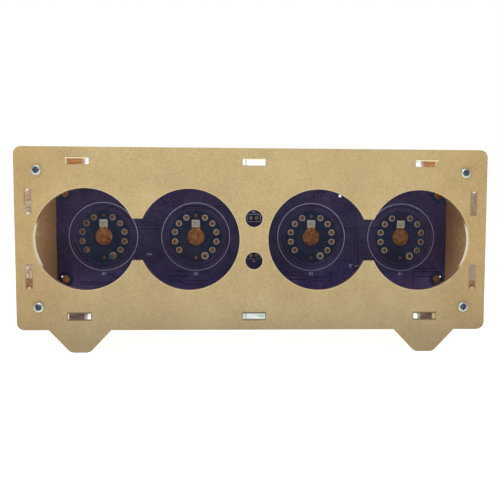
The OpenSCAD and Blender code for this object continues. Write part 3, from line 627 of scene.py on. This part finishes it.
def pad_metal():
    """Tinned rings round the bores, dull, with painted shade at the inner edge, and darker with
    painted shade on the first tube and round the lamps.
    """
    m = Mat("tinned_pads", 0.5, 1.0)
    x, _, z = m.xyz
    dx, dz = m.from_tube()
    step = 2 * math.pi / PIN_PLACES
    turn = m.calc('ARCTAN2', dx, dz)
    turn = m.calc('SUBTRACT', turn, m.mul(m.calc('ROUND', m.calc('DIVIDE', turn, step)), step))
    from_pin = m.length(m.mul(turn, PIN_RING_R * MM), m.past(m.length(dx, dz), PIN_RING_R))
    at_lamp = m.below(m.abs(x), 4)
    first_tube = m.below(x, (TUBES_X[0] + TUBES_X[1]) / 2)
    # painted shade: the first tube's pads and the lamps' pads are darker
    left = m.most(first_tube, at_lamp)
    fine = m.noise(1800, 4.0)
    ring = m.ramp(fine, (0.36, (156, 148, 138)), (0.62, (200, 192, 178)))
    ring = m.mix(m.mul(left, 0.5), ring, (118, 112, 110))
    stained = m.mul(m.below(z, LINE_Z - 8), m.most(first_tube, m.within(x, 0, 45, 1)))
    ring = m.mix(m.mul(stained, 0.85), ring, m.mix(left, (148, 158, 164), (98, 106, 112)))
    # painted shade at the inner edge of each pin's ring
    m.color(m.mix(m.most(m.edge(from_pin, 0.86, 0.98), at_lamp), (86, 66, 52), ring))
    m.rough(m.linear(fine, 0.2, 0.4))
    m.bump(fine, 0.012)
    return m


def screw_zinc():
    """Bright zinc, bluish and mottled, with a painted reflection: darker in the middle of each
    head, where the dark room shows, and paler on the rim.
    """
    m = Mat("screw_zinc", 0.28, 1.0)
    near = m.least(*[m.around(sx * SCREW_X, LINE_Z + sz * SCREW_Z)
                     for sx in (-1, 1) for sz in (-1, 1)])
    blot = m.noise(2600, 4.0, 0.6)
    # painted reflection: the dark room in the middle of the head, the bright studio on the rim
    dark = m.ramp(blot, (0.35, (52, 66, 76)), (0.55, (106, 118, 128)), (0.7, (176, 186, 190)))
    rim = m.tones(blot, 0.2, (176, 190, 186), (222, 230, 226))
    m.color(m.mix(m.edge(near, 1.22, 1.42), dark, rim))
    m.rough(m.linear(blot, 0.25, 0.38))
    m.bump(blot, 0.02, 0.5)
    return m


paper = kraft("kraft")
side_sheet = tab_sheet("acrylic_sides", side_tab_look)
tin = grained("tinned_copper", (176, 170, 156), 20, 0.42, 1.0, grain=1800, bump=0.012, wear=0.2)
pads = pad_metal()
zinc = screw_zinc()
steel = brushed("spring_steel", (190, 192, 194), 12, 0.3, (4000, 4000, 300))
black = grained("black_plastic", (34, 34, 36), 6, 0.48, grain=1600, bump=0.008)
button = grained("button_plastic", (30, 30, 32), 5, 0.38, grain=1500, bump=0.006)
epoxy = grained("chip_epoxy", (42, 42, 46), 7, 0.6, grain=2600, bump=0.012, wear=0.12)
ferrite = grained("ferrite", (66, 65, 68), 9, 0.68, grain=1900, bump=0.02)

LOOKS = {
    "front_panel": window_sheet(),
    "back_panel": acrylic("acrylic_rest", REST_TINT, REST_CLEAR),
    "top_panel": tab_sheet("acrylic_top", lid_tab_look, HIGH_TAB_Z),
    "bottom_panel": tab_sheet("acrylic_bottom", lid_tab_look, LOW_TAB_Z),
    "left_panel": side_sheet,
    "right_panel": side_sheet,
    "front_panel_paper": paper,
    "back_panel_paper": kraft("kraft_lit_through", PAPER_GLOW),
    "top_panel_paper": paper,
    "bottom_panel_paper": paper,
    "left_panel_paper": paper,
    "right_panel_paper": paper,
    "case_pillars": brushed("brass", (206, 172, 96), 12, 0.28, (3000, 200, 3000)),
    "front_screws": zinc,
    "rear_screws": zinc,
    "circuit_board": solder_mask(),
    "tube_pin_eyelets": pads,
    "lamp_lead_eyelets": pads,
    "backlight_diodes": grained("white_plastic", (226, 230, 216), 8, 0.42, grain=1500,
                                bump=0.005),
    "backlight_lenses": grained("lens_gel", (188, 186, 170), 16, 0.2, grain=1200),
    "backlight_leads": tin,
    "switch_housings": black,
    "switch_domes": steel,
    "switch_covers": steel,
    "switch_legs": tin,
    "up_button": button,
    "set_button": button,
    "down_button": button,
    "power_socket_shell": brushed("socket_steel", (200, 201, 203), 10, 0.24,
                                  (4000, 4000, 300)),
    "power_socket_tongue": black,
    "digit_driver_chips": epoxy,
    "digit_driver_leads": tin,
    "controller_chip": epoxy,
    "controller_leads": tin,
    "clock_chip": epoxy,
    "clock_chip_leads": tin,
    "clock_crystal": steel,
    "coin_cell": brushed("cell_steel", (214, 214, 212), 8, 0.2, (2500, 300, 2500)),
    "coin_cell_base": black,
    "coin_cell_clip": steel,
    "inductor_drum": ferrite,
    "inductor_frame": ferrite,
    "switching_transistor": epoxy,
    "switching_transistor_tab": tin,
    "rectifier": epoxy,
    "rectifier_leads": tin,
    "can_capacitors": brushed("can_aluminium", (212, 214, 216), 8, 0.3, (300, 300, 3500)),
    "can_capacitor_bases": black,
    "ceramic_capacitors": grained("ceramic", (178, 142, 98), 10, 0.55, grain=1700, bump=0.008),
    "voltage_regulator": epoxy,
    "voltage_regulator_leads": tin,
    "resistors": epoxy,
    "resistor_ends": tin,
}
for name, obj in nodes.items():
    obj.data.materials.clear()
    obj.data.materials.append(LOOKS[name].m)
floor.data.materials.append(floor_material().m)

# ------------------------------------------------------------ print and relief on the board
# Points are (x, z) in mm, with z counted from LINE_Z.
LIFT = 0.004                # keeps a stroke's underside off the board's face
INK_T = 0.03                # how far a stroke stands proud of the board
GROOVE_T, GROOVE_W = 0.012, 0.27
TRACK_T, TRACK_W = 0.02, 0.26


def on_circle(cx, cz, r, angle):
    return (cx + r * math.cos(angle), cz + r * math.sin(angle))


def arc(cx, cz, r, start, stop):
    """Points along an arc, with its ends in degrees."""
    steps = max(3, int(abs(stop - start) / 6))
    return [on_circle(cx, cz, r, math.radians(start + (stop - start) * i / steps))
            for i in range(steps + 1)]


class Strokes:
    """Flat strokes on the board's front face, as one mesh."""

    def __init__(self, name, thick):
        self.name, self.thick = name, thick
        self.v, self.f = [], []

    def ribbon(self, pts, w, closed=False):
        n = len(pts)
        base = len(self.v)
        for i, (px, pz) in enumerate(pts):
            if closed:
                a, b = pts[i - 1], pts[(i + 1) % n]
            else:
                a, b = pts[max(i - 1, 0)], pts[min(i + 1, n - 1)]
            dx, dz = b[0] - a[0], b[1] - a[1]
            run = math.hypot(dx, dz) or 1.0
            nx, nz = -dz / run, dx / run
            half = w / 2
            if 0 < i < n - 1 or closed:     # a corner's mitre is wider than the stroke
                p, q = pts[i - 1], pts[(i + 1) % n]
                u = Vector((px - p[0], pz - p[1])).normalized()
                v = Vector((q[0] - px, q[1] - pz)).normalized()
                half /= max(0.5, math.sqrt(max(0.0, (1 + u.dot(v)) / 2)))
            for side in (-half, half):
                for rise in (LIFT, LIFT + self.thick):
                    self.v.append(((px + side * nx) * MM, (BOARD_Y - rise) * MM,
                                   (LINE_Z + pz + side * nz) * MM))
        for i in range(n if closed else n - 1):
            a = base + 4 * i
            b = base + 4 * ((i + 1) % n)
            self.f += [(a + 1, a + 3, b + 3, b + 1), (a, b, b + 2, a + 2),
                       (a, a + 1, b + 1, b), (a + 2, b + 2, b + 3, a + 3)]
        if not closed:
            a, b = base, base + 4 * (n - 1)
            self.f += [(a, a + 2, a + 3, a + 1), (b, b + 1, b + 3, b + 2)]

    def make(self, material):
        me = bpy.data.meshes.new(self.name)
        me.from_pydata(self.v, [], self.f)
        me.validate()
        bm = bmesh.new()
        bm.from_mesh(me)
        bmesh.ops.recalc_face_normals(bm, faces=bm.faces)
        bm.to_mesh(me)
        bm.free()
        o = bpy.data.objects.new(self.name, me)
        scene.collection.objects.link(o)
        me.materials.append(material.m)
        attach(o, "case")


# Each digit's line, one unit from its middle to its top
DIGITS = (
    [(-0.5, 0.4), (-0.25, 0.9), (0.25, 0.9), (0.5, 0.4), (0.5, -0.4), (0.25, -0.9), (-0.25, -0.9),
     (-0.5, -0.4), (-0.5, 0.4)],
    [(-0.35, 0.55), (0.1, 0.9), (0.1, -0.9)],
    [(-0.5, 0.5), (-0.3, 0.85), (0.2, 0.9), (0.5, 0.55), (0.4, 0.1), (-0.5, -0.9), (0.55, -0.9)],
    [(-0.5, 0.7), (-0.1, 0.92), (0.4, 0.75), (0.45, 0.3), (0.0, 0.05), (0.45, -0.15), (0.5, -0.65),
     (0.1, -0.92), (-0.5, -0.75)],
    [(0.3, -0.9), (0.3, 0.9), (-0.55, -0.3), (0.6, -0.3)],
    [(0.5, 0.9), (-0.45, 0.9), (-0.5, 0.1), (0.2, 0.15), (0.5, -0.3), (0.3, -0.8), (-0.5, -0.85)],
    [(0.4, 0.85), (-0.2, 0.6), (-0.5, -0.2), (-0.3, -0.85), (0.3, -0.85), (0.5, -0.35),
     (0.2, 0.05), (-0.45, -0.1)],
)
RING_R, RING_W, RING_STEPS = 14.8, 0.28, 128
TUBE_NUMBER_Z = -16.3       # the tubes' numbers stand under their rings
LAMP_NUMBER_STEP = 2.6      # the lamps' numbers, away from their outlines
LAMP_BOX = ((2.9, 1.25), (2.6, 1.55))    # half sizes to the ends of its cut corners
LAMP_BOX_W = 0.18
ink = Strokes("board_print", INK_T)


def number(cx, cz, n, half, w):
    """A plain two-figure place number."""
    for side, d in ((-1, n // 10), (1, n % 10)):
        middle = cx + side * half * 0.8
        ink.ribbon([(middle + px * half, cz + pz * half) for px, pz in DIGITS[d]], w)


for n, tx in enumerate(TUBES_X, 1):
    ink.ribbon([on_circle(tx, 0, RING_R, 2 * math.pi * i / RING_STEPS)
                for i in range(RING_STEPS)], RING_W, True)
    number(tx, TUBE_NUMBER_Z, n, half=0.58, w=0.28)
(far_x, near_z), (near_x, far_z) = LAMP_BOX
for n, side, shift in ((5, 1, 0.0), (6, -1, 0.2)):
    z0 = side * LAMP_Z + shift
    ink.ribbon([(-near_x, z0 - far_z), (near_x, z0 - far_z), (far_x, z0 - near_z),
                (far_x, z0 + near_z), (near_x, z0 + far_z), (-near_x, z0 + far_z),
                (-far_x, z0 + near_z), (-far_x, z0 - near_z)], LAMP_BOX_W, True)
    number(0.1, z0 + side * LAMP_NUMBER_STEP, n, half=0.42, w=0.16)
for dash_x in (-46.15, -45.05):          # two dashes in the left neck
    ink.ribbon([(dash_x - 0.44, -7.7), (dash_x + 0.44, -7.7)], 0.62)
ink.ribbon([(42.4, -12.2), (43.8, -12.2), (43.1, -13.4)], 0.26, True)    # triangle and dash
ink.ribbon([(44.8, -12.8), (46.4, -12.8)], 0.3)
ink.make(grained("print_ink", (184, 188, 220), 14, 0.6, grain=3000, bump=0.01))

# The lacquer follows the copper: dark grooves lie between the tracks, and paler raised tracks
# cross the bare circles.
GROOVES = [
    [(-52, 4.9), (-40, 4.9)], [(-56, 3.4), (-40.5, 3.4)], [(-52, 6.1), (-42, 6.1)],
    [(-36.5, 13.2), (-11.5, 13.2)], [(-31, 12.2), (-14, 12.2)],
    [(-40.5, 17), (-37.8, 13.9)], [(-36, 17.4), (-35, 14.6)],
    [(-11.6, 12), (-11.6, -9.2)], [(-10.4, -5.4), (-10.4, -9.9), (-12.6, -9.9)],
    [(-36.5, -14.9), (-29, -15.4)], [(-23.6, -15.6), (-19, -15.4)],
    [(-38, -17.4), (-28, -17.4)],
    [(-36.5, -20.4), (-33.8, -18.8), (-31.2, -20.4), (-28.5, -18.9)],
    [(-27.5, -19.4), (-20, -19.4)], [(-30, -21), (-22, -21)],
    [(-76.3, -14), (-76.3, -20.0), (-61.8, -20.0)], [(-75.6, -20.9), (-63, -20.9)],
    [(-63.7, -16.6), (-60, -16.6)], [(-62, -17.8), (-58, -17.8)],
    [(26.5, 19.5), (26.5, 16.2)], [(29.8, 18.9), (29.8, 15.6)], [(26, 19.8), (32, 19.8)],
    [(34.5, 16), (38.8, 15.5), (41.2, 13.8)], [(17.5, 13.0), (20, 13.9), (31, 13.9)],
    [(12.5, 10.6), (15.8, 12.4)], [(39.4, 4), (58, 4)],
    [(46.2, 2), (46.2, -11.8)], [(44.9, 1), (44.9, -9)],
    [(13.6, -15.6), (22.4, -15.6)], [(15, -17), (23.4, -17)], [(15.2, -18.9), (23.6, -18.9)],
    [(25.6, -17.9), (33, -17.9)], [(26, -19.5), (31, -19.5)],
    [(32.6, -16.9), (34.6, -15.6), (34.6, -17.8), (32.6, -16.9)],
    [(71.3, -15.8), (71.3, -22.2)], [(72, -13.9), (82.5, -13.9)],
    [(72, -15.3), (82.5, -15.3)], [(73, -17.5), (80, -17.5)],
    [(5.6, 9.0), (5.6, -9.5)], [(-5.4, 11.0), (-5.4, -8.0)],
    [(-4.6, 3.0), (4.8, 3.0)], [(-4.6, -3.6), (4.8, -3.6)],
]
TRACKS = [
    [(29.7, -2.2), (33, -2.2)], [(29.7, -4), (32, -4)],
    [(18.6, -2.4), (22.3, -6.2), (28.7, -6.2)], [(70.3, 4.5), (70.3, -5)],
    [(65, -6.0), (69.4, -6.0)], [(59.3, 6.0), (61.4, 4)], [(58.3, -1.5), (61.2, -4.4)],
    [(-23.6, -5.3), (-19.3, -1.2)], [(-33.6, 3.6), (-29.6, 3.6)], [(-32.5, -2.0), (-30.0, -4.4)],
]
# Arcs round each tube: radius, and where it starts and ends past the tube's own turn
GROOVE_ARCS = ((12.7, 195, 330), (13.6, 20, 110))
TRACK_ARCS = ((5.2, 160, 290), (6.1, 200, 320), (7.0, 230, 300))
TUBE_TURNS = (0, 20, -20, 35)
SPOKE_PLACES = (-5, -3, -1, 2, 4, 6)     # pins with a short track outward
SPOKE_R = (10.75, 11.4)
for tx, turn in zip(TUBES_X, TUBE_TURNS):
    GROOVES += [arc(tx, 0, r, turn + start, turn + stop) for r, start, stop in GROOVE_ARCS]
    TRACKS += [arc(tx, 0, r, turn + start, turn + stop) for r, start, stop in TRACK_ARCS]
    for place in SPOKE_PLACES:
        angle = math.pi / 2 - 2 * math.pi * place / PIN_PLACES
        TRACKS.append([on_circle(tx, 0, r, angle) for r in SPOKE_R])

for name, lines, thick, w, material in (
        ("board_grooves", GROOVES, GROOVE_T, GROOVE_W,
         grained("groove_lacquer", (38, 32, 58), 6, 0.4, grain=1500, bump=0.008, spec=0.12)),
        ("board_tracks", TRACKS, TRACK_T, TRACK_W,
         grained("track_lacquer", (72, 75, 110), 8, 0.36, grain=1500, bump=0.008, spec=0.12))):
    relief = Strokes(name, thick)
    for line in lines:
        relief.ribbon(line, w)
    relief.make(material)
